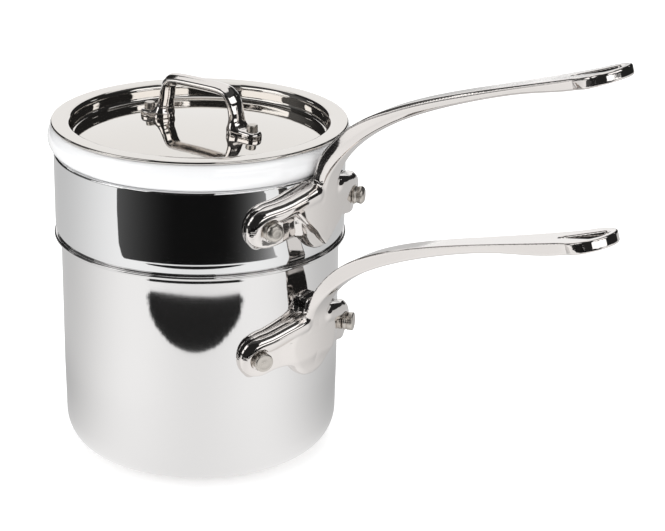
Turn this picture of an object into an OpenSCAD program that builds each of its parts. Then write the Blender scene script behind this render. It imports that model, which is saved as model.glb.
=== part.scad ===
// Double boiler: a saucepan, a steel collar that stands on its lip, a porcelain
// insert that hangs in the collar, and a lid. +Z is up, +X runs along the
// saucepan's handle, and the origin is the middle of the base. Sizes are in mm.

/* [Saucepan] */
// Inside diameter of the saucepan
pan_bore_d = 120; // [100:1:160]
// Height of the saucepan, from the base to the top of the lip
pan_h = 103; // [80:1:140]
// Thickness of the saucepan's wall
pan_wall = 2.6; // [1.5:0.1:4]
// Thickness of the saucepan's floor
pan_floor = 2.6; // [1.5:0.1:5]
// Outside radius of the corner between the base and the wall
pan_corner = 16; // [8:1:22]
// How far the lip stands out past the wall
lip_reach = 3.0; // [2:0.1:5]
// Thickness of the lip
lip_t = 1.8; // [1.2:0.1:3]
// Radius under the lip and inside the mouth
lip_fillet = 2.0; // [1:0.1:3]

/* [Collar] */
// How far the collar stands out past the saucepan's wall
collar_step = 2.4; // [1.5:0.1:2.8]
// Height of the collar, from the lip to the seat of the insert
collar_h = 37.5; // [36:0.5:60]
// Thickness of the collar's wall
collar_wall = 2.2; // [1.8:0.1:3]
// How far the collar's foot draws in
foot_inset = 0.9; // [0.2:0.1:1.2]
// Height over which the foot draws in
foot_h = 5.4; // [2:0.1:8]
// Radius of the collar's top edge
collar_edge_r = 1.4; // [0.5:0.1:1.5]
// How far the collar and the lid are turned round from the saucepan's handle
collar_turn = 3; // [0:1:10]

/* [Insert] */
// How far the porcelain rim stands out past the collar
bead_step = 2.4; // [1:0.1:5]
// Height of the porcelain rim above the collar
bead_h = 12.1; // [11:0.1:18]
// Thickness of the porcelain rim at its mouth, from the collar's inside
mouth_step = 2.8; // [2:0.1:4]
// Thickness of the porcelain wall
insert_wall = 4; // [3:0.2:6]
// Gap between the insert and the floor of the saucepan
insert_lift = 25; // [15:1:40]
// Outside radius of the insert's bottom corner
insert_corner = 14; // [8:1:20]
// Gap between the insert's body and the saucepan's wall
insert_gap = 6; // [4:0.5:9]
// How much the insert's body narrows towards the bottom, on the radius
insert_taper = 2.5; // [1:0.5:4]
// Gap between the insert's neck and the collar
neck_gap = 0.4; // [0.3:0.1:0.6]

/* [Lid] */
// How far the lid's edge stays inside the porcelain rim
lid_inset = 1.5; // [0.5:0.1:3]
// Thickness of the lid's sheet
lid_t = 1.5; // [0.8:0.1:2]
// Gap between the lid's dish and the insert's mouth
lid_gap = 0.5; // [0.3:0.1:1]
// Depth from the lid's rim to the crown of the dish
crown_depth = 2.8; // [1:0.1:5]
// Rise of the crown above the edge of the dish
crown_rise = 5.2; // [2:0.1:6]
// Distance between the two rivets of the lid's handle
lid_rivet_pitch = 58; // [50:1:64]
// Height of the lid's handle above the rim of the lid
lid_handle_h = 17.8; // [14:0.5:30]
// Width of the lid's handle
lid_handle_w = 9.2; // [6:0.2:12]
// Thickness of the lid handle's bar
lid_bar_t = 5; // [4:0.2:7]
// Diameter of the lid's rivets
lid_rivet_d = 4.8; // [4:0.2:6]

/* [Handles] */
// Height of the saucepan handle's rivets above the base
pan_rivet_z = 63.6; // [50:0.2:72]
// Height of the collar handle's rivets above the collar's foot
collar_rivet_z = 19.9; // [19.6:0.1:20.8]
// Reach of the saucepan's handle from the wall to its tip
pan_reach = 151; // [130:1:190]
// Reach of the collar's handle from the wall to its tip
collar_reach = 146; // [130:1:190]
// Rise of the saucepan's handle from its rivets to its tip
pan_rise = 86; // [70:1:100]
// Rise of the collar's handle from its rivets to its tip
collar_rise = 89; // [80:1:105]
// Width of the handle's stem
stem_w = 13.6; // [11:0.2:16]
// Width of the handle's end
end_w = 24; // [21:0.5:30]
// Width of the hanging slot
slot_w = 12.5; // [9:0.5:15]
// Length of the hanging slot
slot_l = 23; // [20:1:32]
// Thickness of the handle's wings
wing_t = 4; // [3:0.2:5]
// Depth of the flat middle of the bracket
face_t = 5.6; // [5:0.2:7]
// Thickness of the ribs on the wings
rib_d = 11; // [9:0.5:12]
// Angle from the handle to each rivet
rivet_angle = 26; // [22:0.5:28]
// Diameter of a rivet's shank
rivet_d = 6; // [5:0.2:7]
// Diameter of a rivet's outer head
rivet_head_d = 8.4; // [7.6:0.2:9.6]
// Height of the outer heads on the saucepan's handle
pan_head_h = 4.8; // [2:0.1:6]
// Height of the outer heads on the collar's handle
collar_head_h = 5.4; // [2:0.1:6]
// Running gap round each shank
shank_gap = 0.05; // [0.02:0.01:0.1]

/* [Hidden] */
$fn = 96;
far = 400;
pan_r = pan_bore_d / 2;
pan_out_r = pan_r + pan_wall;
lip_r = pan_out_r + lip_reach;
collar_r = pan_out_r + collar_step;
collar_in_r = collar_r - collar_wall;
collar_top = pan_h + collar_h;
inner_head_t = 1.5;
body_r = pan_r - insert_gap;
bead_r = collar_r + bead_step;
lid_r = bead_r - lid_inset;
seat_gap = 0.05;
neck_r = collar_in_r - neck_gap;
mouth_r = collar_in_r - mouth_step;
rim_top = collar_top + bead_h;
insert_bottom = pan_floor + insert_lift;
lid_top = rim_top + lid_t;
dish_r = mouth_r - lid_gap - lid_t;
crown_z = lid_top - crown_depth;
crown_r = (dish_r * dish_r + crown_rise * crown_rise) / (2 * crown_rise);
dish_z = crown_z - crown_rise;
pan_rivet = [pan_out_r, pan_rivet_z];
collar_rivet = [collar_r, pan_h + collar_rivet_z];
lid_bar_top = lid_top + lid_handle_h;
lid_flange_t = 3;
lid_stud_h = 2.8;
lid_rivet_r = lid_rivet_pitch / 2;
lobe_r = 9.2;
boss_t = wing_t + 0.3;

function bezier(a, b, c, d, n) =
    [for (i = [0 : n]) let (t = i / n, u = 1 - t)
        u * u * u * a + 3 * u * u * t * b + 3 * u * t * t * c + t * t * t * d];
function back(points) = [for (i = [len(points) - 1 : -1 : 0]) points[i]];
function flip(points) = [for (p = points) [p[0], -p[1]]];
function mirrored(points) = [for (p = points) [-p[0], p[1]]];
function crown_at(r) = crown_z - crown_r + sqrt(crown_r * crown_r - r * r);

// half section of a round vessel that is solid, with a rounded bottom corner
module vessel_half(r, bottom, top, corner) {
    translate([0, bottom]) square([r - corner, top - bottom]);
    translate([0, bottom + corner]) square([r, top - bottom - corner]);
    translate([r - corner, bottom + corner]) circle(corner);
}

// the same section kept to the right of the axis
module right_half(size) {
    translate([0, -size]) square([size, 2 * size]);
}

// piece of square that a fillet of radius r leaves, corner at the origin
module fillet_spandrel(r) {
    difference() {
        square(r);
        translate([r, r]) circle(r);
    }
}

module saucepan_half() {
    lip_low = pan_h - lip_t;
    difference() {
        union() {
            vessel_half(pan_out_r, 0, pan_h, pan_corner);
            translate([pan_r, lip_low]) square([lip_r - lip_t / 2 - pan_r, lip_t]);
            translate([lip_r - lip_t / 2, pan_h - lip_t / 2]) circle(lip_t / 2);
            translate([pan_out_r, lip_low]) mirror([0, 1]) fillet_spandrel(lip_fillet);
        }
        vessel_half(pan_r, pan_floor, pan_h + 1, pan_corner - pan_wall);
        translate([pan_r, pan_h]) mirror([0, 1]) fillet_spandrel(lip_fillet);
    }
}

module saucepan() {
    color([0.86, 0.85, 0.84]) difference() {
        rotate_extrude() intersection() {
            saucepan_half();
            right_half(far);
        }
        rivet_holes(pan_rivet);
    }
}

module collar_half() {
    arc_r = (foot_h * foot_h + foot_inset * foot_inset) / (2 * foot_inset);
    difference() {
        union() {
            translate([collar_in_r, pan_h + foot_h]) square([collar_wall, collar_h - foot_h]);
            intersection() {
                translate([collar_in_r, pan_h]) square([collar_wall, foot_h]);
                translate([collar_r - arc_r, pan_h + foot_h]) circle(arc_r, $fn = 200);
            }
        }
        translate([collar_r, collar_top]) rotate(180) fillet_spandrel(collar_edge_r);
    }
}

module collar() {
    color([0.78, 0.78, 0.79]) difference() {
        rotate_extrude() collar_half();
        rivet_holes(collar_rivet);
    }
}

// half section of the insert's body or of its hollow, narrowing towards the bottom
module tapered_half(top_r, bottom, top, corner) {
    low_r = top_r - insert_taper;
    lean = atan(insert_taper / (top - bottom - corner));
    centre = [low_r - corner, bottom + corner];
    translate([0, bottom]) square([centre[0], top - bottom]);
    translate(centre) circle(corner);
    polygon([[0, centre[1]], centre + (corner - 0.01) * [cos(lean), -sin(lean)], [top_r, top], [0, top]]);
}

module insert_half() {
    seat_z = collar_top + seat_gap;
    neck_low = seat_z - 5;
    step_low = neck_low - 8;
    funnel_low = step_low + 3.5;
    arc_r = bead_h * 0.64;
    difference() {
        union() {
            tapered_half(body_r, insert_bottom, step_low, insert_corner);
            polygon([[0, step_low - 1], [body_r - 0.02, step_low - 1], [body_r, step_low],
                     [neck_r, neck_low], [neck_r, seat_z], [0, seat_z]]);
            intersection() {
                translate([bead_r - arc_r, collar_top + bead_h * 0.54]) circle(arc_r);
                translate([0, seat_z]) square([bead_r, rim_top - seat_z]);
            }
            translate([0, seat_z]) square([bead_r - arc_r, rim_top - seat_z]);
        }
        tapered_half(body_r - insert_wall, insert_bottom + insert_wall, funnel_low,
                     insert_corner - insert_wall);
        polygon([[0, funnel_low - 1], [body_r - insert_wall - 0.02, funnel_low - 1],
                 [body_r - insert_wall, funnel_low], [mouth_r, seat_z + 1],
                 [mouth_r, rim_top + 1], [0, rim_top + 1]]);
    }
}

module insert() {
    color("white") rotate_extrude() intersection() {
        insert_half();
        right_half(far);
    }
}

// the crown of the dish, and everything below it
module crown_ball(r, drop) {
    intersection() {
        translate([0, crown_z - crown_r]) circle(crown_r - drop, $fn = 720);
        translate([0, crown_z - 3 * crown_rise]) square([r, 4 * crown_rise]);
    }
}

module lid_half() {
    edge_r = lid_t / 2;
    translate([dish_r, rim_top]) square([lid_r - edge_r - dish_r, lid_t]);
    translate([lid_r - edge_r, rim_top + edge_r]) circle(edge_r);
    translate([dish_r, crown_at(dish_r) - lid_t]) square([lid_t, lid_top - crown_at(dish_r) + lid_t]);
    difference() {
        crown_ball(dish_r + lid_t / 2, 0);
        crown_ball(dish_r + lid_t, lid_t);
    }
}

module lid() {
    color([0.82, 0.82, 0.81]) difference() {
        rotate_extrude() intersection() {
            lid_half();
            right_half(far);
        }
        turned() lid_rivet_holes();
    }
}

module turned() {
    rotate([0, 0, collar_turn]) children();
}

module at_lid_rivets() {
    for (side = [-1, 1])
        translate([side * lid_rivet_r, 0, crown_at(lid_rivet_r)]) children();
}

module lid_rivet_holes() {
    at_lid_rivets() translate([0, 0, -10]) cylinder(d = lid_rivet_d + 2 * shank_gap, h = 30);
}

module lid_rivet(side) {
    head_r = lid_rivet_d * 0.9;
    head_top = -lid_t;
    color([0.72, 0.70, 0.66]) turned()
        translate([side * lid_rivet_r, 0, crown_at(lid_rivet_r)]) {
            translate([0, 0, head_top - 1.2])
                cylinder(d = lid_rivet_d, h = lid_stud_h + lid_flange_t - head_top + 1.2 - 0.4);
            translate([0, 0, lid_stud_h + lid_flange_t - 0.4])
                cylinder(d1 = lid_rivet_d, d2 = lid_rivet_d - 0.8, h = 0.4);
            intersection() {
                translate([0, 0, head_top - 1.6]) cylinder(r = head_r, h = 1.3);
                translate([-side * lid_rivet_r, 0, -crown_at(lid_rivet_r)])
                    rotate_extrude() crown_ball(dish_r, lid_t + 0.02);
            }
        }
}

// side view of the lid's handle, along its length and up
module lid_handle_side() {
    half = lid_rivet_r - 9;
    corner = 7;
    low = crown_z - 2;
    difference() {
        union() {
            translate([-half, low]) square([2 * half, lid_bar_top - low - corner]);
            translate([corner - half, low]) square([2 * (half - corner), lid_bar_top - low]);
            for (side = [-1, 1])
                translate([side * (half - corner), lid_bar_top - corner]) circle(corner);
        }
        translate([lid_bar_t - half, low - 1])
            square([2 * (half - lid_bar_t), lid_bar_top - low + 1 - corner]);
        translate([corner - half, low])
            square([2 * (half - corner), lid_bar_top - low - lid_bar_t]);
        for (side = [-1, 1])
            translate([side * (half - corner), lid_bar_top - corner]) circle(corner - lid_bar_t);
    }
}

module lid_handle_foot() {
    foot_r = lid_rivet_d * 0.5 + 3.2;
    translate([0, 0, -3]) cylinder(r = foot_r, h = lid_flange_t + 3);
    translate([-14, -lid_handle_w / 2, -3]) cube([14, lid_handle_w, lid_flange_t + 3]);
}

module lid_handle() {
    color([0.75, 0.75, 0.74]) turned() difference() {
        union() {
            translate([0, lid_handle_w / 2, 0]) rotate([90, 0, 0])
                linear_extrude(lid_handle_w) lid_handle_side();
            for (side = [0, 180])
                rotate([0, 0, side]) translate([lid_rivet_r, 0, crown_at(lid_rivet_r)])
                    lid_handle_foot();
        }
        translate([0, 0, seat_gap]) rotate_extrude() crown_ball(dish_r, 0);
        lid_rivet_holes();
    }
}

// points of the stem's upper and lower lines, from the bracket to the tip
function stem_top(seat, reach, rise) = let (x = seat[0], z = seat[1])
    bezier([x + 7.4, z + 22.4], [x + 17.4, z + rise * 0.667],
           [x + reach * 0.51, z + rise * 0.726], [x + reach, z + rise], 24);
function stem_low(seat, reach, rise) = let (x = seat[0], z = seat[1])
    bezier([x + 7.4, z + 8.4], [x + 11.4, z + rise * 0.61],
           [x + reach * 0.53, z + rise * 0.702], [x + reach, z + rise - 5], 24);

module stem_side(seat, reach, rise) {
    polygon(concat([[seat[0], seat[1] + 19], [seat[0], seat[1] + 4]],
                   stem_low(seat, reach, rise), back(stem_top(seat, reach, rise))));
}

module stem_plan(seat, reach) {
    end_r = end_w / 2;
    end_x = seat[0] + reach - end_r;
    waist_x = seat[0] + reach * 0.55;
    flank = bezier([waist_x, stem_w / 2], [waist_x + reach * 0.14, stem_w / 2],
                   [end_x - reach * 0.1, end_r], [end_x, end_r], 12);
    root = bezier([seat[0], stem_w / 2 + 4], [seat[0] + 6, stem_w / 2 + 4],
                  [seat[0] + 6, stem_w / 2], [seat[0] + 24, stem_w / 2], 8);
    polygon(concat(root, flank, back(flip(flank)), back(flip(root))));
    translate([end_x, 0]) circle(end_r + 0.05);
}

module slot_plan(seat, reach) {
    slot_r = slot_w / 2;
    tip_gap = (end_w - slot_w) / 2 - 1.2;
    end_x = seat[0] + reach - tip_gap - slot_r;
    start_x = end_x + slot_r - slot_l + 1.4;
    translate([end_x, 0]) circle(slot_r);
    translate([start_x, 0]) circle(1.4);
    polygon([[start_x, -1.4], [start_x + 6, -slot_r * 0.62], [end_x - 2, -slot_r + 0.3],
             [end_x, 0.3 - slot_r], [end_x, slot_r - 0.3], [end_x - 2, slot_r - 0.3],
             [start_x + 6, slot_r * 0.62], [start_x, 1.4]]);
}

// outline of the flat middle of the bracket, across and up from the rivets
module tongue_outline() {
    side = bezier([0, -16.3], [12, -16.3], [13, -7], [17, -3], 10);
    polygon(concat(side, [[19, 8], [12, 17], [-12, 17], [-19, 8]], back(mirrored(side))));
}

// outline of a wing, across and up from the rivets
module wing_outline(seat) {
    y = seat[0] * sin(rivet_angle);
    polygon([[1, -6.5], [y, -7.5], [y + 6, -3], [y + 4, 11], [1, 18]]);
}

module radial(angle, seat) {
    translate([0, 0, seat[1]]) rotate([0, 0, angle]) rotate([0, 90, 0]) children();
}

module rivet_holes(seat) {
    for (side = [-1, 1])
        radial(side * rivet_angle, seat) cylinder(d = rivet_d + 2 * shank_gap, h = far);
}

// one rib: a piece of ring that leans down the wing, with a ball at each end
module rib(seat) {
    rib_r = rib_d / 2;
    mid_r = seat[0] + 1.2;
    first = 6;
    last = rivet_angle + 6;
    translate([0, 0, seat[1] + 14.5]) rotate([-14.5, 0, 0]) {
        rotate([0, 0, first]) rotate_extrude(angle = last - first)
            translate([mid_r, 0]) circle(rib_r);
        rotate([0, 0, first]) translate([mid_r, 0, 0]) sphere(rib_r + 0.2);
        rotate([0, 0, last]) translate([mid_r, 0, 0]) sphere(rib_r + 0.2);
    }
}

module bracket(seat) {
    translate([0, 0, seat[1]]) rotate([90, 0, 90]) linear_extrude(seat[0] + face_t) tongue_outline();
    intersection() {
        translate([0, 0, seat[1] - 30]) cylinder(r = seat[0] + wing_t, h = 60);
        for (side = [0, 1])
            mirror([0, side, 0]) translate([0, 0, seat[1]]) rotate([90, 0, 90])
                linear_extrude(far) wing_outline(seat);
    }
    for (side = [0, 1]) mirror([0, side, 0]) {
        rib(seat);
        radial(rivet_angle, seat) cylinder(r = lobe_r, h = seat[0] + boss_t);
    }
}

module cast_handle(seat, reach, rise) {
    difference() {
        union() {
            bracket(seat);
            intersection() {
                rotate([90, 0, 0]) translate([0, 0, -end_w]) linear_extrude(2 * end_w)
                    stem_side(seat, reach, rise);
                linear_extrude(far) stem_plan(seat, reach);
            }
        }
        cylinder(r = seat[0] + seat_gap, h = far);
        rivet_holes(seat);
        for (side = [-1, 1])
            radial(side * rivet_angle, seat) translate([0, 0, seat[0] + boss_t])
                cylinder(d = rivet_head_d + 0.6, h = far);
        linear_extrude(far) slot_plan(seat, reach);
    }
}

module saucepan_handle() {
    color([0.80, 0.79, 0.78]) cast_handle(pan_rivet, pan_reach, pan_rise);
}

module collar_handle() {
    color([0.80, 0.79, 0.78]) turned() difference() {
        cast_handle(collar_rivet, collar_reach, collar_rise);
        translate([0, 0, collar_top - 0.3]) cylinder(r = bead_r + 0.6, h = bead_h + 20);
    }
}

module rivet(seat, wall, side, head_h) {
    edge = 0.6;
    head_z = seat[0] + boss_t;
    inner_r = seat[0] - wall;
    color([0.70, 0.67, 0.62]) radial(side * rivet_angle, seat) {
        translate([0, 0, inner_r - 1]) cylinder(d = rivet_d, h = wall + boss_t + 2);
        translate([0, 0, head_z]) cylinder(d = rivet_head_d, h = head_h - edge);
        translate([0, 0, head_z + head_h - edge])
            cylinder(d1 = rivet_head_d, d2 = rivet_head_d - 2 * edge, h = edge);
    }
    color([0.70, 0.67, 0.62]) intersection() {
        radial(side * rivet_angle, seat) translate([0, 0, inner_r - inner_head_t])
            cylinder(d = 1.8 * rivet_d, h = 2 * inner_head_t);
        cylinder(r = inner_r - 0.02, h = far);
    }
}

saucepan();
saucepan_handle();
rivet(pan_rivet, pan_wall, -1, pan_head_h);  // saucepan_rivet_near
rivet(pan_rivet, pan_wall, 1, pan_head_h);  // saucepan_rivet_far
turned() collar();
collar_handle();
turned() rivet(collar_rivet, collar_wall, -1, collar_head_h);  // collar_rivet_near
turned() rivet(collar_rivet, collar_wall, 1, collar_head_h);  // collar_rivet_far
insert();
lid();
lid_handle();
lid_rivet(-1);  // lid_rivet_inner
lid_rivet(1);  // lid_rivet_outer
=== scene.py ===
# Double boiler on a pale table: saucepan, steel collar, porcelain insert and lid.
import bpy
import math
import numpy as np
from mathutils import Matrix, Vector


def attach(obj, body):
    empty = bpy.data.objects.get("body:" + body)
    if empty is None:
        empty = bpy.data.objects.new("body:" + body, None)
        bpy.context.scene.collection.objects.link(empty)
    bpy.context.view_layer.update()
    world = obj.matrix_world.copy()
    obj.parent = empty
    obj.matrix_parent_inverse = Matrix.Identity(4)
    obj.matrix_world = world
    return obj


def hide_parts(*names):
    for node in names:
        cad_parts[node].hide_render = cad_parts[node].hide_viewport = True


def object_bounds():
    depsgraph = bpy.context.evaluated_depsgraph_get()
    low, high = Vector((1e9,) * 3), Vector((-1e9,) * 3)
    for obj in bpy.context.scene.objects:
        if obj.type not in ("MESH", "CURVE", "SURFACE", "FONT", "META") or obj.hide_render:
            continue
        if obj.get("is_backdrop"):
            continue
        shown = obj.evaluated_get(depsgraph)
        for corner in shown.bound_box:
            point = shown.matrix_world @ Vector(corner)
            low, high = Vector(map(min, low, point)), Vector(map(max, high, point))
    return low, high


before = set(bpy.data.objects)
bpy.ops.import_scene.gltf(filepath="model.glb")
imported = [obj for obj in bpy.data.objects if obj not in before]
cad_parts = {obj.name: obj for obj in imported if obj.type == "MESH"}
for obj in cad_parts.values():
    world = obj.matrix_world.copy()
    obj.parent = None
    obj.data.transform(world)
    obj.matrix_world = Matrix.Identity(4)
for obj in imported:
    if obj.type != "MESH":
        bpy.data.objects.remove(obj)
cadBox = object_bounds()
print("frame loaded")

millimetre = 0.001
collarTurn = math.radians(3)


# mesh helpers
def makePiece(name, points, faces, node, body, normals=None):
    mesh = bpy.data.meshes.new(name)
    mesh.from_pydata((np.asarray(points) * millimetre).tolist(), [], faces)
    mesh.validate()
    mesh.polygons.foreach_set("use_smooth", np.ones(len(mesh.polygons), bool))
    if normals is not None:
        mesh.normals_split_custom_set_from_vertices(normals.tolist())
    mesh.update()
    piece = bpy.data.objects.new(name, mesh)
    bpy.context.scene.collection.objects.link(piece)
    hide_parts(node)
    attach(piece, body)
    return piece


# points on a circle's arc, angles in degrees
def arc(centreX, centreY, radius, start, end, count=14):
    angle = np.radians(np.linspace(start, end, count))
    return np.column_stack([centreX + radius * np.cos(angle), centreY + radius * np.sin(angle)])


# adds points on the straight stretches, so that no step is longer than the given one
def densify(profile, step=1.6):
    parts = [profile[:1]]
    for a, b in zip(profile[:-1], profile[1:]):
        count = max(1, int(math.ceil(np.hypot(*(b - a)) / step)))
        parts.append(a + (b - a) * (np.arange(1, count + 1) / count)[:, None])
    return np.vstack(parts)


# surface of revolution: (radius cos a, radius sin a, height) for a profile and an angle a
# once round; an open profile starts and ends on the axis, where one point closes it
def latheGrid(profile, sides, closed):
    ring = profile if closed else profile[1:-1]
    angle = np.linspace(0, 2 * np.pi, sides, endpoint=False)
    grid = np.stack([ring[:, :1] * np.cos(angle), ring[:, :1] * np.sin(angle),
                     ring[:, 1:] + 0 * angle], axis=-1).reshape(-1, 3)
    rows = len(ring)
    i = np.arange(rows if closed else rows - 1)[:, None]
    j = np.arange(sides)[None, :]
    after = (i + 1) % rows
    across = (j + 1) % sides
    quads = np.stack([i * sides + j, i * sides + across, after * sides + across,
                      after * sides + j], axis=-1).reshape(-1, 4).tolist()
    if closed:
        return grid, quads
    first, last = len(grid), len(grid) + 1
    grid = np.vstack([grid, [[0, 0, profile[0, 1]], [0, 0, profile[-1, 1]]]])
    low = (rows - 1) * sides
    turn = np.arange(sides)
    onward = (turn + 1) % sides
    caps = np.vstack([np.column_stack([onward, turn, np.full(sides, first)]),
                      np.column_stack([low + turn, low + onward, np.full(sides, last)])])
    return grid, quads + caps.tolist()


def latheProfile(parts, closed=False, step=1.6):
    profile = np.vstack([np.atleast_2d(np.asarray(p, float)) for p in parts])
    keep = np.r_[True, np.hypot(*np.diff(profile, axis=0).T) > 1e-4]
    profile = profile[keep]
    if closed:
        profile = np.vstack([profile, profile[:1]])
    profile = densify(profile, step)
    return profile[:-1] if closed else profile


# turns points about the vertical axis
def turnedBy(points, angle):
    c, s = math.cos(angle), math.sin(angle)
    return points @ np.array([[c, s, 0], [-s, c, 0], [0, 0, 1]])


# castings are level surfaces of a distance
# rounded union of two distances, blended over the width k
def join(a, b, k):
    h = np.maximum(k - np.abs(a - b), 0) / k
    return np.minimum(a, b) - h * h * h * k / 6


# intersection of two distances with a rounded outer edge of radius r
def meet(a, b, r):
    return np.minimum(np.maximum(a, b), -r) + np.hypot(np.maximum(a + r, 0), np.maximum(b + r, 0))


# what a tool of that distance leaves of a body, with the rim rounded
def cut(a, tool, r):
    return meet(a, -tool, r)


# distance to a round bar that widens from radius ra at a to rb at b, in a plane
def taperedBar(x, y, a, ra, b, rb):
    ax, ay = x - a[0], y - a[1]
    dx, dy = b[0] - a[0], b[1] - a[1]
    length = math.hypot(dx, dy)
    along = (ax * dx + ay * dy) / length
    away = np.abs(ax * dy - ay * dx) / length
    lean = (ra - rb) / length
    rise = math.sqrt(1 - lean * lean)
    t = np.clip((along + away * lean / rise) / length, 0, 1)
    return np.hypot(along - t * length, away) - (ra + (rb - ra) * t)


# signed distance to a closed outline: to the nearest of its sides, minus inside, where a line
# to the right crosses an odd number of sides
def outlineDistance(x, y, corners):
    x, y = np.broadcast_arrays(x, y)
    best = np.full(x.shape, 1e9)
    inside = np.zeros(x.shape, bool)
    for a, b in zip(corners, np.roll(corners, -1, axis=0)):
        dx, dy = b - a
        t = np.clip(((x - a[0]) * dx + (y - a[1]) * dy) / (dx * dx + dy * dy), 0, 1)
        best = np.minimum(best, np.hypot(x - a[0] - t * dx, y - a[1] - t * dy))
        crossed = (a[1] > y) != (b[1] > y)
        inside ^= crossed & (x < a[0] + (y - a[1]) * dx / (dy if dy else 1))
    return np.where(inside, -best, best)


# signed distance from a cubic curve in the x-z plane, plus on its left: the nearest
# of 60 samples starts a few Newton steps towards the foot of the perpendicular
def curveDistance(x, z, control):
    p = np.asarray(control, float)
    c3, c2, c1 = p[3] - 3 * p[2] + 3 * p[1] - p[0], 3 * (p[2] - 2 * p[1] + p[0]), 3 * (p[1] - p[0])
    point = lambda t, k: ((c3[k] * t + c2[k]) * t + c1[k]) * t + p[0][k]
    speed = lambda t, k: (3 * c3[k] * t + 2 * c2[k]) * t + c1[k]
    bend = lambda t, k: 6 * c3[k] * t + 2 * c2[k]
    x, z = np.broadcast_arrays(x, z)
    t = np.zeros(x.shape)
    best = np.full(x.shape, 1e9)
    for sample in np.linspace(0, 1, 60):
        away = (x - point(sample, 0)) ** 2 + (z - point(sample, 1)) ** 2
        t = np.where(away < best, sample, t)
        best = np.minimum(best, away)
    for step in range(4):
        ex, ez = point(t, 0) - x, point(t, 1) - z
        sx, sz = speed(t, 0), speed(t, 1)
        slope = sx * sx + sz * sz + ex * bend(t, 0) + ez * bend(t, 1)
        t = np.clip(t - (ex * sx + ez * sz) / np.maximum(slope, 1), 0, 1)
    sx, sz = speed(t, 0), speed(t, 1)
    return (sx * (z - point(t, 1)) - sz * (x - point(t, 0))) / np.hypot(sx, sz)


# distance to a bent rod of changing radius through the given points (x, y, z, radius)
def rodDistance(x, y, z, rod):
    best = np.float32(99)
    for a, b in zip(rod[:-1], rod[1:]):
        d = b[:3] - a[:3]
        t = np.clip(((x - a[0]) * d[0] + (y - a[1]) * d[1] + (z - a[2]) * d[2]) / (d @ d), 0, 1)
        away = np.sqrt((x - a[0] - t * d[0]) ** 2 + (y - a[1] - t * d[1]) ** 2
                       + (z - a[2] - t * d[2]) ** 2) - (a[3] + (b[3] - a[3]) * t)
        best = np.minimum(best, away)
    return best


# smooth curve through points, as a Catmull-Rom spline
def smoothPath(points, count):
    p = np.asarray(points, float)
    p = np.vstack([2 * p[0] - p[1], p, 2 * p[-1] - p[-2]])
    t = np.linspace(0, len(p) - 3 - 1e-9, count)
    i = t.astype(int)
    u = (t - i)[:, None]
    a, b, c, d = p[i], p[i + 1], p[i + 2], p[i + 3]
    return 0.5 * (2 * b + (c - a) * u + (2 * a - 5 * b + 4 * c - d) * u ** 2
                  + (3 * b - a - 3 * c + d) * u ** 3)


# surface where a distance is zero: each grid cell that it crosses gets one point, at the mean
# of the crossings of its edges, and steps down the slope bring that point onto the surface
def levelSurface(field, boxes, cell):
    low = np.min([b[0] for b in boxes], axis=0)
    high = np.max([b[1] for b in boxes], axis=0)
    size = np.ceil((high - low) / cell).astype(int) + 2
    values = np.full(size, 9, np.float32)
    for start, end, part in boxes:
        a = np.maximum(np.floor((np.asarray(start) - low) / cell).astype(int), 0)
        b = np.minimum(np.ceil((np.asarray(end) - low) / cell).astype(int) + 1, size)
        axes = [low[k] + cell * np.arange(a[k], b[k]) for k in range(3)]
        values[a[0]:b[0], a[1]:b[1], a[2]:b[2]] = part(
            axes[0][:, None, None], axes[1][None, :, None], axes[2][None, None, :])
    inside = values < 0
    corner = lambda grid, i, j, k: grid[i:size[0] - 1 + i, j:size[1] - 1 + j, k:size[2] - 1 + k]
    offsets = [(i, j, k) for i in (0, 1) for j in (0, 1) for k in (0, 1)]
    count = sum(corner(inside, *o).astype(np.int8) for o in offsets)
    active = (count > 0) & (count < 8)
    where = np.argwhere(active)
    total = np.zeros((len(where), 3))
    crossings = np.zeros(len(where))
    for a in offsets:
        for k in range(3):
            if a[k]:
                continue
            b = tuple(1 if m == k else a[m] for m in range(3))
            va = values[tuple((where + a).T)]
            vb = values[tuple((where + b).T)]
            crossed = (va < 0) != (vb < 0)
            share = np.where(crossed, va / np.where(crossed, va - vb, 1), 0)
            spot = np.tile(np.asarray(a, float), (len(where), 1))
            spot[:, k] += share
            total += spot * crossed[:, None]
            crossings += crossed
    points = low + cell * (where + total / crossings[:, None])
    number = np.full(active.shape, -1)
    number[active] = np.arange(len(where))
    faces = []
    for k in range(3):
        u, v = (k + 1) % 3, (k + 2) % 3
        ahead = [slice(None)] * 3
        ahead[k] = slice(1, None)
        behind = [slice(None)] * 3
        behind[k] = slice(None, -1)
        start, end = inside[tuple(behind)], inside[tuple(ahead)]
        edge = np.argwhere(start != end)
        edge = edge[(edge[:, u] > 0) & (edge[:, v] > 0)
                    & (edge[:, u] < size[u] - 1) & (edge[:, v] < size[v] - 1)]
        unitU, unitV = np.eye(3, dtype=int)[u], np.eye(3, dtype=int)[v]
        ids = [number[tuple((edge - s).T)] for s in (0 * unitU, unitU, unitU + unitV, unitV)]
        quad = np.column_stack(ids)
        outward = start[tuple(edge.T)]
        quad[~outward] = quad[~outward][:, ::-1]
        faces.append(quad)
    faces = np.vstack(faces)
    small = 0.02

    def slopes(p):
        g = np.stack([field(*(p + small * np.eye(3)[k]).T) - field(*(p - small * np.eye(3)[k]).T)
                      for k in range(3)], axis=-1) / (2 * small)
        return g / np.maximum(np.linalg.norm(g, axis=1, keepdims=True), 1e-6)

    for step in range(3):
        slope = slopes(points)
        points = points - slope * np.clip(field(*points.T), -cell, cell)[:, None]
    return points, faces, slopes(points)


print("helpers ready")

# saucepan
saucepan = dict(wallRadius=62.6, footRadius=62.25, boreRadius=60.0, height=103.0, floor=2.6,
                corner=16.4, innerCorner=13.4, lipRadius=65.6, lipThickness=1.8, lipFillet=1.2)


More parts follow.
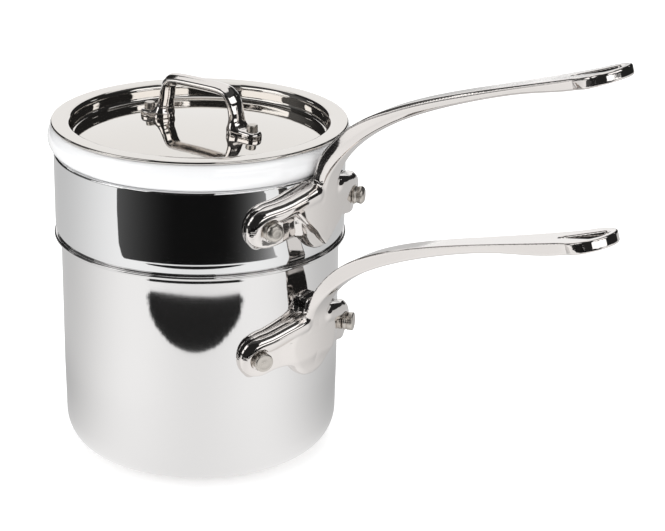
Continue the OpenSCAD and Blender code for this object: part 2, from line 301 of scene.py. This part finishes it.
def saucepanProfile(s):
    lipLow = s["height"] - s["lipThickness"]
    edge = s["lipThickness"] / 2
    inner = s["innerCorner"]
    return latheProfile([
        [[0, 0.35], [40, 0.3], [44, 0]],
        arc(s["footRadius"] - s["corner"], s["corner"], s["corner"], -90, 0, 28),
        [[s["footRadius"] + 0.1, 24]],
        [[s["wallRadius"], 40]],
        arc(s["wallRadius"] + s["lipFillet"], lipLow - s["lipFillet"], s["lipFillet"], 180, 90, 10),
        arc(s["lipRadius"] - edge, s["height"] - edge, edge, -90, 90, 12),
        arc(s["boreRadius"] + s["lipFillet"], s["height"] - s["lipFillet"], s["lipFillet"],
            90, 180, 10),
        arc(s["boreRadius"] - inner, s["floor"] + inner, inner, 0, -90, 20),
        [[0, s["floor"]]]])


points, faces = latheGrid(saucepanProfile(saucepan), 288, False)
saucepanPiece = makePiece("saucepanShell", points, faces, "saucepan", "saucepan")
print("saucepan made")

# collar
collar = dict(radius=65.0, wall=2.2, low=103.0, top=140.5, footInset=0.9, footHeight=5.4, edge=1.3)


def collarProfile(c):
    bend = (c["footHeight"] ** 2 + c["footInset"] ** 2) / (2 * c["footInset"])
    lean = math.degrees(math.asin(c["footHeight"] / bend))
    inner = c["radius"] - c["wall"]
    small = 0.35
    return latheProfile([
        arc(c["radius"] - bend, c["low"] + c["footHeight"], bend, -lean + 0.6, 0, 14),
        arc(c["radius"] - c["edge"], c["top"] - c["edge"], c["edge"], 0, 90, 12),
        arc(inner + small, c["top"] - small, small, 90, 180, 6),
        arc(inner + small, c["low"] + small, small, 180, 270, 6)], closed=True, step=1.2)


points, faces = latheGrid(collarProfile(collar), 288, True)
collarPiece = makePiece("collarRing", points, faces, "collar", "collar")
print("collar made")

# porcelain insert
insert = dict(bodyRadius=54.0, lowRadius=51.5, neckRadius=62.4, wall=4.0, bottom=27.6, corner=14.0,
              mouthRadius=60.0, stepLow=127.6, neckLow=135.6, seat=140.55, top=152.6,
              beadRadius=67.4, beadBend=7.73, beadHeight=147.0)


def insertProfile(p):
    inner = p["corner"] - p["wall"]
    bend = p["beadBend"]
    centre = p["beadRadius"] - bend
    lowAngle = -math.degrees(math.asin((p["beadHeight"] - p["seat"] - 0.02) / bend))
    topAngle = math.degrees(math.asin((p["top"] - p["beadHeight"] - 0.25) / bend))
    roll = 1.6
    throat = p["bodyRadius"] - p["wall"]
    return latheProfile([
        [[0, p["bottom"]]],
        arc(p["lowRadius"] - p["corner"], p["bottom"] + p["corner"], p["corner"], -90, -2, 20),
        arc(p["bodyRadius"] + 3, p["stepLow"] - 1.4, 3.0, 180, 135, 6),
        arc(p["neckRadius"] - 2, p["neckLow"], 2.0, -44, 0, 6),
        [[p["neckRadius"], p["seat"]]],
        arc(centre, p["beadHeight"], bend, lowAngle, topAngle, 30),
        [[centre + bend * math.cos(math.radians(topAngle)) - 1.0, p["top"]]],
        arc(p["mouthRadius"] + roll, p["top"] - roll, roll, 90, 180, 10),
        [[p["mouthRadius"], p["seat"] + 1.5]],
        arc(throat - 4, p["stepLow"] + 1.6, 4.0, 42, 2, 6),
        arc(p["lowRadius"] - p["wall"] - inner, p["bottom"] + p["wall"] + inner, inner,
            -2, -90, 16),
        [[0, p["bottom"] + p["wall"]]]])


points, faces = latheGrid(insertProfile(insert), 256, False)
insertPiece = makePiece("porcelainInsert", points, faces, "insert", "insert")
print("insert made")

# lid
lid = dict(radius=65.9, rimLow=152.6, sheet=1.5, dishRadius=57.2, crown=151.3, crownRise=4.8,
           brow=2.6, fillet=1.8)


def crownHeight(radius):
    bend = (lid["dishRadius"] ** 2 + lid["crownRise"] ** 2) / (2 * lid["crownRise"])
    return lid["crown"] - bend + np.sqrt(bend ** 2 - radius ** 2)


def lidProfile(d):
    top = d["rimLow"] + d["sheet"]
    edge = d["sheet"] / 2
    dish = d["dishRadius"]
    fillet = d["fillet"]
    outward = np.linspace(0, dish - 0.6, 40)
    inward = np.linspace(dish - fillet, 0, 40)
    return latheProfile([
        np.column_stack([outward, crownHeight(outward) - d["sheet"]]),
        [[dish + 0.9, crownHeight(dish - 0.4) - d["sheet"] + 0.4],
         [dish + d["sheet"], crownHeight(dish - 0.4)], [dish + d["sheet"], d["rimLow"]]],
        arc(d["radius"] - edge, top - edge, edge, -90, 90, 12),
        arc(dish + d["brow"], top - d["brow"], d["brow"], 90, 180, 10),
        arc(dish - fillet, crownHeight(dish - fillet) + fillet, fillet, 0, -88, 14),
        np.column_stack([inward, crownHeight(inward)])], step=1.4)


points, faces = latheGrid(lidProfile(lid), 288, False)
lidPiece = makePiece("lidSheet", points, faces, "lid", "lid")
print("lid made")

# cast handles
# bracket: lobes, wings and holes are laid out along the wall, as across, up and radius
casting = dict(rivetAngle=math.radians(26), arcRadius=68.5, plate=4.2, faceLean=0.065,
               clearance=0.03, lobe=(31.2, 0.4, 8.3), wingStart=(4, 2.6, 7.8),
               wingEnd=(31.2, 0.6, 7.6), recess=4.7, hole=3.06)
# stem: half widths, the swelling at its root, the flare towards the ring and the slot there
stemSizes = dict(half=6.8, foot=8.4, rootMiddle=6, rootWidth=7, rootRise=2.2, flareStart=75,
                 flareEnd=88.8, flareRise=4.2, endRadius=12.0, lean=0.33, creaseStart=45,
                 creaseFade=45, bevelStart=20, bevelFade=18, bevelLeast=0.3, slotAhead=1.8,
                 slotRadius=7.3, slotTip=1.8, slotLength=11.7, slotDraft=0.36)
# half of the shield in the middle of a bracket, across and up from the rivets
shieldHalf = smoothPath([[0, -15.2], [5, -14.4], [9.5, -11.8], [13, -7.6], [15.6, -3],
                         [16.6, 1.5], [15.6, 6], [12.6, 10], [9.4, 13.5], [6.8, 17.5],
                         [5.4, 22], [0, 23]], 36)
shield = np.vstack([shieldHalf, (shieldHalf * [-1, 1])[-2:0:-1]])
# the rib of a wing, from its finger tip by the stem round the rivet: along the arc, up from
# the rivets, out from the wall, and its radius
ribPath = smoothPath([[8.2, 11.6, 3.1, 4.5], [13.0, 10.4, 2.8, 4.4], [17.5, 9.2, 2.4, 4.4],
                      [24.8, 7.0, 2.0, 4.5], [31.0, 5.4, 1.7, 4.6], [35.5, 1.8, 1.1, 4.7],
                      [36.4, -2.4, 0.8, 4.2], [34.8, -5.8, 0.4, 3.4]], 34)
# half of the raised badge on the collar's shield: up to its corner at the side, then to the stem
badgeHalf = np.vstack([
    smoothPath([[0, -13.2], [4.3, -9.2], [8.3, -4.6], [14.5, 1.2], [20, 7]], 14),
    smoothPath([[20, 7], [18.4, 8.1], [14.6, 10.6], [11.2, 12], [8.3, 13.8], [6.2, 15.8], [5.2, 19],
                [5, 23]], 20)[1:], [[0, 23]]])
badge = np.vstack([badgeHalf, (badgeHalf * [-1, 1])[-2:0:-1]])


# distances of a casting: the stem, a bar between two curves, and the whole bracket with it
def handleFields(form):
    c, t = casting, stemSizes
    radius, rivetHeight, reach, rise = (form[k] for k in ("radius", "rivetHeight", "reach", "rise"))
    at = lambda x, z: [radius + x, rivetHeight + z]
    back, bend, shoulder = form["top"]
    sag, under, thick = form["low"]
    topCurve = [at(back, 22.4), at(bend, rise * shoulder), at(reach * 0.509, rise * 0.725),
                at(reach, rise)]
    lowCurve = [at(5.0, 8.4), at(11.4, rise * sag), at(reach * 0.536, rise * under),
                at(reach, rise - thick)]
    tip = radius + reach
    endX = tip - t["endRadius"]
    slotEnd = endX + t["slotAhead"]

    def stem(x, y, z):
        above = curveDistance(x, z, topCurve)
        belly, middle, width = form["belly"]
        below = -curveDistance(x, z, lowCurve) - belly * np.exp(-((x - tip + middle) / width) ** 2)
        depth = np.clip(-above / np.maximum(-above - below, 0.5), 0, 1)
        spread = np.clip((x - radius - t["flareStart"]) / (reach - t["flareEnd"]), 0, 1.05)
        root = np.exp(-((x - radius - t["rootMiddle"]) / t["rootWidth"]) ** 2)
        half = t["half"] + t["rootRise"] * root + t["flareRise"] * spread ** 2
        out = x - endX + t["lean"] * (z - rivetHeight - rise)
        plan = join(np.maximum(np.abs(y) - half, out), np.hypot(out, y) - t["endRadius"], 3.0)
        start, end = form["fade"]
        full = np.clip((x - tip + start) / (start - end), 0, 1)
        undercut, keel, crease = form["undercut"]
        late = np.clip((x - radius - t["creaseStart"]) / t["creaseFade"], 0, 1)
        crease = crease + (1 - crease) * late
        lower = (depth - crease + np.sqrt((depth - crease) ** 2 + 0.004)) / 2 * (1 - full)
        side = plan + (1 - 0.5 * spread) * half * (
            undercut * np.maximum(depth - full, 0) + keel * lower)
        early = np.clip((x - radius - t["bevelStart"]) / t["bevelFade"], 0, 1)
        leg = form["leg"] * (t["bevelLeast"] + (1 - t["bevelLeast"]) * early) * (1 - 0.6 * spread)
        bevel = (above + side + leg) * 0.7071
        body = meet(meet(meet(above, side, 0.5), bevel, 0.5), below, 1.1)
        body = np.maximum(body, rivetHeight + t["foot"] - z)
        slot = taperedBar(x, y, (slotEnd - t["slotLength"], 0), t["slotTip"],
                          (slotEnd, 0), t["slotRadius"]) - t["slotDraft"] * np.minimum(above, 0)
        return cut(body, slot, 0.8)

    def whole(x, y, z):
        level = z - rivetHeight
        proud = np.hypot(x, y) - radius
        across = c["arcRadius"] * np.arctan2(np.abs(y), x)
        beyond = np.clip((across - 22) / 12, 0, 1)
        across = across - form["longer"] * beyond
        up = level + form["lower"] * beyond
        lobeAcross, lobeUp, lobeRadius = c["lobe"]
        lobe = np.hypot(across - lobeAcross, up - lobeUp) - lobeRadius
        wing = taperedBar(across, up, c["wingStart"][:2], c["wingStart"][2],
                          c["wingEnd"][:2], c["wingEnd"][2])
        web = form["web"] + (c["plate"] - form["web"]) * np.clip((across - 18) / 7, 0, 1)
        plate = meet(join(lobe, wing, 5), proud - web, 1.4)
        face = proud - c["faceLean"] * level
        tongue = meet(outlineDistance(across, level, shield), face - form["face"], form["edge"])
        if form["badge"]:
            raised = meet(outlineDistance(across, level, badge), face - form["badge"], 0.8)
            tongue = join(tongue, raised, 0.8)
        rib = rodDistance(across, up, proud, ribPath)
        body = join(plate, tongue, 8.0)
        body = join(body, rib, 1.2)
        body = join(body, stem(x, y, z), 3.0)
        body = meet(body, c["clearance"] - proud, 0.4)
        ax, ay = math.cos(c["rivetAngle"]), math.sin(c["rivetAngle"])
        out = x * ax + np.abs(y) * ay
        off = np.hypot(x * ay - np.abs(y) * ax, level)
        seat = radius + c["plate"] + 0.05 - out
        body = cut(body, meet(off - c["recess"], seat, 0.3), 0.5)
        body = cut(body, off - c["hole"], 0.1)
        if "bead" in form:
            room, under = form["bead"]
            body = meet(body, -meet(np.hypot(x, y) - room, under - z, 0.5), 0.5)
        return body

    return whole, stem


def castHandle(name, node, body, turn, form):
    whole, stem = handleFields(form)
    radius, low, high = form["radius"], form["rivetHeight"], form["rivetHeight"] + form["rise"]
    far = radius + 14
    boxes = [((radius - 13, -43, low - 19), (far, 43, low + 52), whole),
             ((far, -13.5, low + 20), (radius + form["reach"] + 1, 13.5, high + 2), stem)]
    field = lambda x, y, z: np.where(x > far, stem(x, y, z), whole(x, y, z))
    points, faces, normals = levelSurface(field, boxes, 0.5)
    return makePiece(name, turnedBy(points, turn), faces.tolist(), node, body,
                     turnedBy(normals, turn))


# each casting has its place and reach, its lobes and how proud its faces stand, then its stem:
# the top and low curves, the belly near the tip (depth, middle, width), where the undercut
# fades out before the tip, how deep it is over the side and again below a crease, and the bevel
saucepanForm = dict(radius=62.6, rivetHeight=63.6, reach=148.9, rise=85.7,
                    longer=0, lower=0, web=4.2, face=4.8, edge=3.0, badge=0,
                    top=(7.4, 17.8, 0.66), low=(0.535, 0.719, 4.5), belly=(2.1, 25.5, 22),
                    fade=(14.6, 6.2), undercut=(0.38, 0, 1), leg=0.6)
saucepanHandle = castHandle("saucepanCasting", "saucepan_handle", "saucepan", 0, saucepanForm)
print("saucepan handle made")
collarForm = dict(radius=65.0, rivetHeight=122.9, reach=142.2, rise=89.8,
                  longer=1.6, lower=-0.3, web=2.4, face=3.2, edge=1.6, badge=5.5,
                  top=(3.6, 14.7, 0.647), low=(0.54, 0.721, 4.3), belly=(1.5, 20, 18),
                  fade=(18.5, 11.5), undercut=(0.32, 0.45, 0.6), leg=1.5, bead=(68.0, 140.2))
collarHandle = castHandle("collarCasting", "collar_handle", "collar", collarTurn, collarForm)
print("collar handle made")

# rivets
rivet = dict(shank=3.0, head=4.15, seat=4.25, groove=1.7, bevel=0.7, innerHead=5.3,
             innerRise=1.45)


# turned along its own axis, then laid along the radius through its hole: a plain head has a
# fine groove round it and a bevelled end, a domed one is a button on a narrow neck
def makeRivet(name, node, body, form, wall, rise, side, turn, domed):
    r = rivet
    radius, height = form["radius"], form["rivetHeight"]
    start = radius - wall - r["innerRise"]
    seat, end = radius + r["seat"], radius + r["seat"] + rise
    head, bevel, groove = r["head"], r["bevel"], seat + r["groove"]
    if domed:
        cap = [[[head - 0.45, seat]], arc(head - 0.9, seat + 0.9, 0.9, -60, 50, 8),
               [[head - 0.55, groove + 0.1], [head - 0.5, groove + 0.5]],
               arc(head - 2.3, end - 2.2, 2.3, 12, 84, 12), [[1.2, end - 0.02]]]
    else:
        cap = [[[head - 0.45, seat]], [[head - 0.1, seat + 0.35]], [[head - 0.15, groove - 0.3]],
               [[head - 0.42, groove], [head - 0.12, groove + 0.3]],
               arc(head - bevel, end - bevel, bevel, 8, 80, 6), [[2.6, end - 0.03]],
               [[1.9, end - 0.12]], [[1.2, end - 0.03]]]
    profile = latheProfile([
        [[0, start]], [[2, start]], arc(r["innerHead"] - 0.9, start + 0.9, 0.9, -80, 0, 6),
        [[r["innerHead"], radius - wall - 0.27], [r["shank"], radius - wall - 0.02]],
        [[r["shank"], seat]], *cap, [[0, end]]], step=0.8)
    points, faces = latheGrid(profile, 48, False)
    laid = np.column_stack([points[:, 2], points[:, 1], -points[:, 0] + height])
    laid = turnedBy(laid, side * casting["rivetAngle"] + turn)
    return makePiece(name, laid, faces, node, body)


rivets = []
for where, side in (("near", -1), ("far", 1)):
    rivets.append(makeRivet("saucepanRivet" + where.title(), "saucepan_rivet_" + where, "saucepan",
                            saucepanForm, 2.6, 4.75, side, 0, False))
    rivets.append(makeRivet("collarRivet" + where.title(), "collar_rivet_" + where, "collar",
                            collarForm, 2.2, 5.35, side, collarTurn, True))
print("rivets made")

# lid handle
bail = dict(rivetRadius=29.0, halfWidth=4.55, flange=4.2, barHalf=2.8, legHalf=3.05)
bailPath = smoothPath([[-21.6, 149], [-20.4, 155], [-19.0, 160], [-17.9, 165], [-16.3, 168.2],
                       [-12.5, 169.3], [0, 169.5], [12.2, 169.2], [16.5, 167.7], [18.9, 164.4],
                       [20.0, 160], [20.6, 155], [21.4, 149]], 220)


def bailField(x, y, z):
    b = bail
    best, across = np.float32(99), 0
    for p, q in zip(bailPath[:-1], bailPath[1:]):
        d = q - p
        t = np.clip(((x - p[0]) * d[0] + (z - p[1]) * d[1]) / (d @ d), 0, 1)
        away = np.hypot(x - p[0] - t * d[0], z - p[1] - t * d[1])
        best = np.minimum(best, away)
    wide = np.abs(y)
    leg = np.clip((168 - z) / 8, 0, 1)
    thick = b["barHalf"] + (b["legHalf"] - b["barHalf"]) * leg
    slab = meet(best - thick, wide - b["halfWidth"] * (1 - 0.06 * leg), 1.0)
    ridge = (best + 0.55 * wide) * 0.876 - (thick + 0.55) * 0.876
    bar = meet(slab, ridge, 0.8)
    flat = np.abs(x)
    dome = z - crownHeight(np.minimum(np.hypot(x, y), 50))
    plan = taperedBar(flat, wide, (21, 0), 4.6, (b["rivetRadius"], 0), b["flange"])
    flange = meet(plan, dome - 3.1, 1.5)
    body = join(bar, flange, 7.0)
    body = meet(body, 0.03 - dome, 0.3)
    off = np.hypot(flat - b["rivetRadius"], y)
    return cut(body, off - 2.45, 0.1)


points, faces, normals = levelSurface(
    bailField, [((-36, -7, 147), (36, 7, 174), bailField)], 0.36)
bailPiece = makePiece("lidBail", turnedBy(points, collarTurn), faces.tolist(), "lid_handle",
                      "lid", turnedBy(normals, collarTurn))

stud = dict(radius=2.4, rise=6.0, bevel=0.5, headRadius=4.2, headRise=1.3)
for where, side in (("inner", -1), ("outer", 1)):
    seat = float(crownHeight(bail["rivetRadius"]))
    top = seat + stud["rise"]
    under = seat - lid["sheet"] - 0.15
    profile = latheProfile([
        [[0, under - stud["headRise"]]],
        arc(stud["headRadius"] - 0.8, under - stud["headRise"] + 0.8, 0.8, -88, 0, 6),
        [[stud["headRadius"], under - 0.1], [stud["radius"], under - 0.02],
         [stud["radius"], top - stud["bevel"]]],
        arc(stud["radius"] - stud["bevel"], top - stud["bevel"], stud["bevel"], 15, 85, 6),
        [[0, top]]], step=0.8)
    points, faces = latheGrid(profile, 40, False)
    points = turnedBy(points + [side * bail["rivetRadius"], 0, 0], collarTurn)
    rivets.append(makePiece("lidRivet" + where.title(), points, faces, "lid_rivet_" + where,
                            "lid"))
print("lid handle made")


# materials
class Wire:
    # a shader socket with arithmetic: wire + 0.5 or 1 - wire adds a Math node
    def __init__(self, finish, socket):
        self.finish, self.socket = finish, socket

    def op(self, operation, *others):
        return self.finish.node("ShaderNodeMath", {"operation": operation},
                                dict(enumerate((self,) + others)))

    def __add__(self, other):
        return self.op("ADD", other)

    def __sub__(self, other):
        return self.op("SUBTRACT", other)

    def __rsub__(self, other):
        return self * -1 + other

    def __mul__(self, other):
        return self.op("MULTIPLY", other)

    def __truediv__(self, other):
        return self.op("DIVIDE", other)

    def __pow__(self, other):
        return self.op("POWER", other)

    __radd__ = __add__
    __rmul__ = __mul__


class Finish:
    def __init__(self, name):
        self.material = bpy.data.materials.new(name)
        self.material.use_nodes = True
        self.tree = self.material.node_tree
        self.shader = self.tree.nodes["Principled BSDF"]
        self.place = self.node("ShaderNodeTexCoord", output="Object")

    # makes a node of that kind, sets its settings, then the values or links of its inputs
    def node(self, kind, settings=None, values=None, output=0):
        made = self.tree.nodes.new(kind)
        for key, value in (settings or {}).items():
            if key == "stops":
                for stop, (spot, shade) in zip(made.color_ramp.elements, value):
                    stop.position, stop.color = spot, shade
            else:
                setattr(made, key, value)
        for key, value in (values or {}).items():
            self.put(made, key, value)
        return Wire(self, made.outputs[output])

    def put(self, made, key, value):
        if isinstance(value, Wire):
            self.tree.links.new(value.socket, made.inputs[key])
        else:
            made.inputs[key].default_value = value

    def set(self, **values):
        for key, value in values.items():
            self.put(self.shader, key.replace("_", " "), value)
        return self

    def scaled(self, x, y, z):
        return self.node("ShaderNodeMapping", None, {"Vector": self.place, "Scale": (x, y, z)})

    def noise(self, where, scale, detail=3.0, roughness=0.5):
        return self.node("ShaderNodeTexNoise", None, {"Vector": where, "Scale": scale,
                                                      "Detail": detail, "Roughness": roughness})

    def between(self, factor, first, second):
        return self.node("ShaderNodeMix", {"data_type": "RGBA"},
                         {0: factor, 6: first, 7: second}, output=2)

    def bump(self, height, distance, strength=1.0):
        return self.node("ShaderNodeBump", None, {"Strength": strength, "Distance": distance,
                                                  "Height": height})


# steel: the colour drifts a little, the polish has soft wipe marks and the sheet is not quite true
def steelFinish(name, bright, dull, roughness, spread, grain, wave, stretch=(1, 1, 1)):
    finish = Finish(name)
    cloud = finish.noise(finish.scaled(1, 1, 1), 18, 2)
    fine = finish.noise(finish.scaled(*stretch), 900, 4, 0.6)
    wipe = finish.noise(finish.scaled(1, 1, 0.3), 60, 4, 0.55)
    finish.set(Base_Color=finish.between(cloud, dull, bright), Metallic=1.0,
               Roughness=(wipe * spread + fine * (spread * 0.5)) + (roughness - spread * 0.75),
               Normal=finish.bump(fine * grain + finish.noise(finish.place, 40, 1) * wave, 0.001))
    return finish.material


def porcelainFinish():
    finish = Finish("glazedPorcelain")
    cloud = finish.noise(finish.place, 30, 3)
    finish.set(Base_Color=finish.between(cloud, (0.86, 0.865, 0.875, 1), (0.90, 0.90, 0.905, 1)),
               Roughness=cloud * 0.06 + 0.06,
               Normal=finish.bump(cloud, 0.00006), Coat_Weight=0.4)
    finish.set(IOR=1.5, Coat_Roughness=0.03)
    return finish.material


satin = steelFinish("satinSteel", (0.80, 0.79, 0.785, 1), (0.77, 0.76, 0.755, 1), 0.045, 0.02,
                    0.010, 0.05, (1, 1, 0.05))
mirror = steelFinish("mirrorSteel", (0.80, 0.80, 0.80, 1), (0.77, 0.77, 0.775, 1), 0.03, 0.02,
                     0.0, 0.06)
lidSteel = steelFinish("lidSteel", (0.765, 0.735, 0.70, 1), (0.74, 0.71, 0.675, 1), 0.05, 0.03,
                       0.003, 0.05)
castSteel = steelFinish("castSteel", (0.80, 0.765, 0.74, 1), (0.77, 0.735, 0.71, 1), 0.06, 0.04,
                        0.006, 0.12)
rivetSteel = steelFinish("rivetSteel", (0.66, 0.625, 0.58, 1), (0.56, 0.525, 0.48, 1), 0.30, 0.08,
                         0.02, 0.10)
porcelain = porcelainFinish()
for piece, material in ((saucepanPiece, satin), (collarPiece, mirror), (lidPiece, lidSteel),
                        (insertPiece, porcelain), (saucepanHandle, castSteel),
                        (collarHandle, castSteel), (bailPiece, castSteel)):
    piece.data.materials.append(material)
for piece in rivets:
    piece.data.materials.append(rivetSteel)
print("materials made")


# stage and light
# point round the pan: azimuth from the camera's side in degrees, distance and height in metres
cameraSide = -48.3


def around(azimuth, distance, height):
    angle = np.radians(cameraSide + np.asarray(azimuth, float))
    return np.stack(np.broadcast_arrays(distance * np.cos(angle), distance * np.sin(angle),
                                        height), axis=-1)


# faces between the rows and columns of a grid of points
def gridSheet(name, grid):
    rows, columns = grid.shape[:2]
    i, j = np.arange(rows - 1)[:, None] * columns, np.arange(columns - 1)
    quads = np.stack([i + j, i + j + 1, i + j + columns + 1, i + j + columns],
                     axis=-1).reshape(-1, 4)
    mesh = bpy.data.meshes.new(name)
    mesh.from_pydata(grid.reshape(-1, 3).tolist(), [], quads.tolist())
    sheet = bpy.data.objects.new(name, mesh)
    bpy.context.scene.collection.objects.link(sheet)
    sheet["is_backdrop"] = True
    return sheet


# a card shows only in reflections; its light is a number or an expression of the azimuth
# and of the distance from the pan's axis
def card(name, azimuth, distance, height, light):
    sheet = gridSheet(name, around(azimuth, distance, height))
    sheet.visible_camera = False
    sheet.visible_diffuse = False
    sheet.visible_shadow = False
    sheet.visible_transmission = False
    finish = Finish(name + "Glow")
    if callable(light):
        xyz = finish.tree.nodes.new("ShaderNodeSeparateXYZ")
        finish.put(xyz, 0, finish.place)
        x, y = Wire(finish, xyz.outputs[0]), Wire(finish, xyz.outputs[1])
        c, s = math.cos(math.radians(cameraSide)), math.sin(math.radians(cameraSide))
        light = light((y * c - x * s).op("ARCTAN2", x * c + y * s) * (180 / math.pi),
                      (x * x + y * y) ** 0.5)
        finish.set(Emission_Color=light)
    else:
        finish.set(Emission_Color=(light, light, light, 1))
    finish.set(Base_Color=(0, 0, 0, 1), Emission_Strength=1.0, Specular_IOR_Level=0.0,
               Roughness=1.0)
    sheet.data.materials.append(finish.material)


# a soft pool of light round a place: exp(-((place - middle) / width) squared)
def pool(place, middle, width):
    away = (place - middle) / width
    return (away * away * -1).op("EXPONENT")


def span(start, end, count):
    return np.linspace(start, end, count)[None, :]


def rise(*values):
    return np.array(values)[:, None]


floor = gridSheet("floor", np.array([[(-4, -4, 0), (4, -4, 0)], [(-4, 4, 0), (4, 4, 0)]], float))
floorFinish = Finish("paleTable")
floorCloud = floorFinish.noise(floorFinish.place, 3, 2)
floorFinish.set(Base_Color=floorFinish.between(floorCloud, (0.93, 0.93, 0.93, 1),
                                               (0.95, 0.95, 0.95, 1)), Roughness=0.6)
floorFinish.set(Emission_Color=(1, 1, 1, 1), Emission_Strength=0.35)
floor.data.materials.append(floorFinish.material)

# the floor as reflections see it: two painted pools of light on either side of the camera's side,
# and a painted shadow close to the pan's foot that fades towards the camera's side
card("floorLight", span(-180, 180, 97), rise(0.056, 4.0), 0.002,
     lambda azimuth, distance: pool(azimuth, -50, 50) * 0.45 + pool(azimuth, 42, 46) * 0.42
     + 0.60 - pool(distance.op("MAXIMUM", 0.09), 0.09, 0.05) * (1 - pool(azimuth, 0, 80)) * 0.16)
flagLeft, flagRight = rise(-56, -61, -63, -63, -63), rise(57, 53, 49, 47, 47)
card("frontFlag", flagLeft + (flagRight - flagLeft) * span(0, 1, 45),
     rise(0.33, 0.36, 0.42, 0.5, 1.45), 0.004,
     lambda azimuth, distance: ((azimuth - 10).op("MAXIMUM", 0) / 38) ** 3 * 0.25
     + ((azimuth * -1 - 15).op("MAXIMUM", 0) / 47) ** 2 * 0.09 + 0.006)

# a dark round card with a ragged edge, for the soft patch low on the saucepan's wall
patch = dict(near=0.211, far=0.289, half=35.5, middle=-4.5, ragged=0.035)
rows = np.linspace(0, 1, 90)[:, None]
jitter = 1 + np.random.default_rng(7).normal(0, patch["ragged"], (len(rows), 1))
spread = patch["half"] * (1 - (1 - rows) ** 2) ** 0.5 * (1 - 0.12 * rows ** 24) * jitter
card("ovalFlag", patch["middle"] + spread * span(-1, 1, 33),
     patch["near"] + rows * (patch["far"] - patch["near"]), 0.004, 0.018)

# a dark tent on the camera's side with a dark roof, softboxes and bright streaks
card("darkTent", span(-160, 160, 65), 1.5, rise(0.0, 1.75),
     lambda azimuth, distance: pool(azimuth, -95, 25) * 0.09 + 0.02)
card("darkRoof", span(-135, 135, 55), rise(1.5, 0.62), rise(1.70, 2.1), 0.06)
for name, start, end, low, high in (
        ("lowSoftbox", -90, -60, 0.30, 0.64), ("tipSoftbox", 10, 60, 0.20, 0.46),
        ("leftSoftbox", -87, -42, 0.72, 1.43), ("rightSoftbox", 12, 70, 0.72, 1.43),
        ("leftStreak", -130, -119, 0.70, 0.80), ("rightStreak", 112, 121, 0.70, 0.80)):
    card(name, span(start, end, 16), 1.42, rise(low, high), 1.5)

world = bpy.context.scene.world or bpy.data.worlds.new("studio")
bpy.context.scene.world = world
world.use_nodes = True
world.node_tree.nodes["Background"].inputs["Color"].default_value = (1, 1, 1, 1)
world.node_tree.nodes["Background"].inputs["Strength"].default_value = 1.0


def areaLight(name, azimuth, distance, height, size, power):
    data = bpy.data.lights.new(name, "AREA")
    data.shape = "DISK"
    data.size = size
    data.energy = power
    lamp = bpy.data.objects.new(name, data)
    place = Vector(around(azimuth, distance, height))
    lamp.matrix_world = Matrix.Translation(place) @ (Vector((0, 0, 0.1)) - place).to_track_quat(
        "-Z", "Y").to_matrix().to_4x4()
    lamp.visible_glossy = False
    bpy.context.scene.collection.objects.link(lamp)


areaLight("topLight", 160, 0.5, 1.5, 1.2, 4)
areaLight("leftLight", -70, 1.3, 0.9, 0.9, 2)
print("stage set")

# camera
view = dict(place=(0.5654, -0.6346, 0.4045), azimuth=127.65, pitch=20.65, roll=-1.15, lens=107.58)
azimuth, pitch, roll = (math.radians(view[k]) for k in ("azimuth", "pitch", "roll"))
forward = Vector((math.cos(azimuth) * math.cos(pitch), math.sin(azimuth) * math.cos(pitch),
                  -math.sin(pitch)))
right = Vector((math.sin(azimuth), -math.cos(azimuth), 0))
down = forward.cross(right)
across = math.cos(roll) * right + math.sin(roll) * down
upward = math.sin(roll) * right - math.cos(roll) * down
cameraData = bpy.data.cameras.new("camera")
cameraData.sensor_width = 36
cameraData.sensor_fit = "HORIZONTAL"
cameraData.lens = view["lens"]
cameraData.clip_end = 20
camera = bpy.data.objects.new("camera", cameraData)
turn = Matrix((across, upward, -forward)).transposed().to_4x4()
camera.matrix_world = Matrix.Translation(view["place"]) @ turn
bpy.context.scene.collection.objects.link(camera)
bpy.context.scene.camera = camera
bpy.context.scene.view_settings.view_transform = "Standard"
print("camera set")

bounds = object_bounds()
({"cad": [list(map(float, corner)) for corner in cadBox],
           "visual": [list(map(float, corner)) for corner in bounds]})
